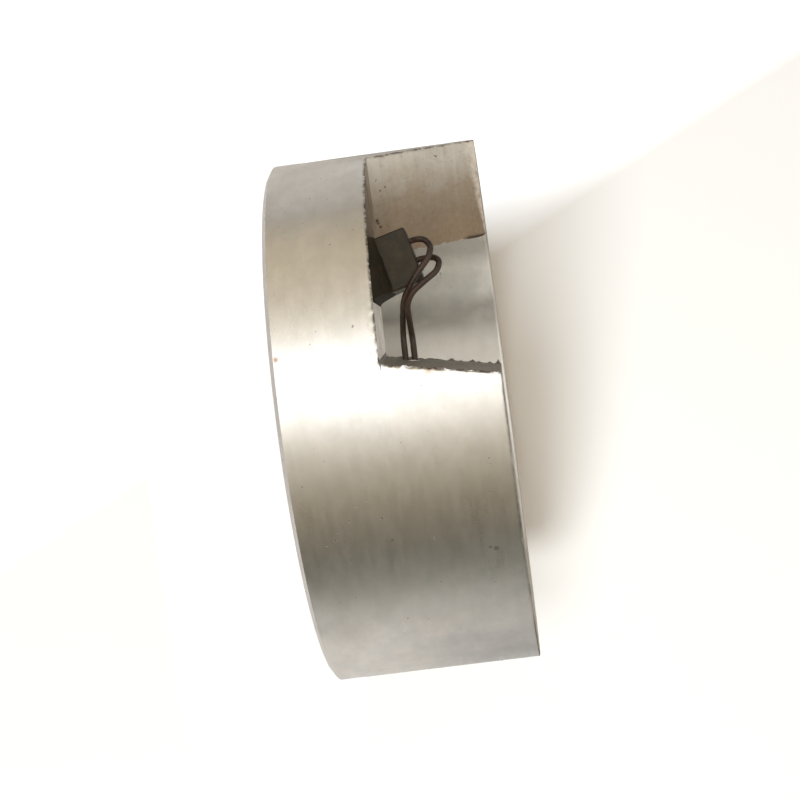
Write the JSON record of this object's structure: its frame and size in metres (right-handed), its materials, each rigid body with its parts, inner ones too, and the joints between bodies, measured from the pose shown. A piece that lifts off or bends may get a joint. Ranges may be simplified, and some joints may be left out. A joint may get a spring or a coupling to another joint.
{
  "type": "cast aluminium ring heater",
  "caption": "Thick cast aluminium heating ring with a plain bore, a flared notch in its wall, a black terminal block bedded in the notch and looped brown leads.",
  "frame": {"origin": "centre of the ring's bottom end, the end away from the notch", "axes": "+Z along the ring's axis towards the notched end; the notch faces between -X and -Y"},
  "size_m": [0.16, 0.16, 0.0624],
  "materials": {
    "cast_aluminium": "turned, satin, with sawn notch faces",
    "sheath_steel": "dull",
    "magnesia": "compacted powder",
    "resistance_alloy": "oxidised",
    "nickel": "drawn",
    "seal_resin": "cured resin",
    "bush_ceramic": "unglazed",
    "lead_sleeve": "varnished braid, semi-gloss",
    "ferrule": "tinned",
    "block_moulding": "moulded phenolic",
    "contact_brass": "machined",
    "screw_steel": "zinc plated",
    "sealing_compound": "cured by hand"
  },
  "bodies": {
    "root": {"heater_ring": "cast_aluminium", "element_sheath": "sheath_steel", "element_end_disc": "sheath_steel", "element_filling": "magnesia", "resistance_wire": "resistance_alloy", "cold_pin_a": "nickel", "cold_pin_b": "nickel", "element_seal": "seal_resin", "element_end_bush": "bush_ceramic", "lead_conductor_a": "nickel", "lead_conductor_b": "nickel", "lead_sleeve_a": "lead_sleeve", "lead_sleeve_b": "lead_sleeve", "lead_ferrule_a": "ferrule", "lead_ferrule_b": "ferrule", "terminal_block": "block_moulding", "contact_a": "contact_brass", "contact_b": "contact_brass", "clamp_screws": "screw_steel", "sealing_bed": "sealing_compound"}
  },
  "joints": []
}
